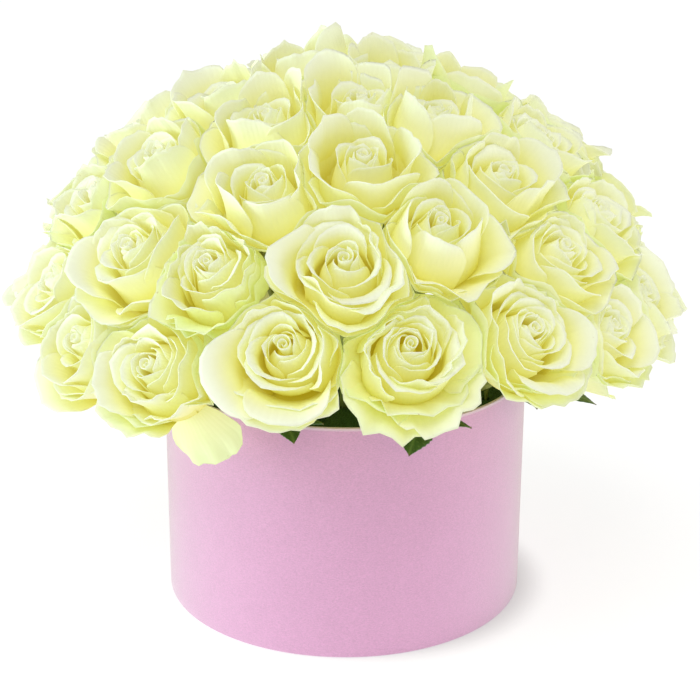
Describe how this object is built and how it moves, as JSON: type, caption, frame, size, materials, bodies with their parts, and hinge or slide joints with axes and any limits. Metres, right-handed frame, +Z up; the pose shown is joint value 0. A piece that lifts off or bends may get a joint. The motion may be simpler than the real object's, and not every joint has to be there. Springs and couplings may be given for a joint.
{
  "type": "flower hat box",
  "caption": "Round paper-covered hat box filled with a dense dome of open cream roses in wet floral foam.",
  "frame": {"origin": "centre of the underside of the box, on the surface it stands on", "axes": "+Z up, -Y towards the viewer of the picture"},
  "size_m": [0.3723, 0.3447, 0.3061],
  "materials": {
    "pink_paper": "matte fine-grained paper",
    "liner_film": "satin",
    "wet_foam": "matte, porous",
    "rose_petal": "velvet matte",
    "rose_leaf": "satin"
  },
  "bodies": {
    "root": {"hat_box_wall": "pink_paper", "hat_box_base": "pink_paper", "water_liner": "liner_film", "floral_foam": "wet_foam", "rose_01": "rose_petal", "rose_02": "rose_petal", "rose_03": "rose_petal", "rose_04": "rose_petal", "rose_05": "rose_petal", "rose_06": "rose_petal", "rose_07": "rose_petal", "rose_08": "rose_petal", "rose_09": "rose_petal", "rose_10": "rose_petal", "rose_11": "rose_petal", "rose_12": "rose_petal", "rose_13": "rose_petal", "rose_14": "rose_petal", "rose_15": "rose_petal", "rose_16": "rose_petal", "rose_17": "rose_petal", "rose_18": "rose_petal", "rose_19": "rose_petal", "rose_20": "rose_petal", "rose_21": "rose_petal", "rose_22": "rose_petal", "rose_23": "rose_petal", "rose_24": "rose_petal", "rose_25": "rose_petal", "rose_26": "rose_petal", "rose_27": "rose_petal", "rose_28": "rose_petal", "rose_29": "rose_petal", "rose_30": "rose_petal", "rose_31": "rose_petal", "rose_32": "rose_petal", "rose_33": "rose_petal", "rose_34": "rose_petal", "rose_35": "rose_petal", "rose_36": "rose_petal", "rose_37": "rose_petal", "rose_38": "rose_petal", "rose_39": "rose_petal", "rose_40": "rose_petal", "rose_41": "rose_petal", "rose_42": "rose_petal", "rose_43": "rose_petal", "rose_44": "rose_petal", "rose_45": "rose_petal", "rose_46": "rose_petal", "rose_47": "rose_petal", "rose_48": "rose_petal", "rose_49": "rose_petal", "rose_50": "rose_petal", "rose_51": "rose_petal", "leaf_spray_1": "rose_leaf", "leaf_spray_2": "rose_leaf", "leaf_spray_3": "rose_leaf", "leaf_spray_4": "rose_leaf", "leaf_spray_5": "rose_leaf"}
  },
  "joints": []
}
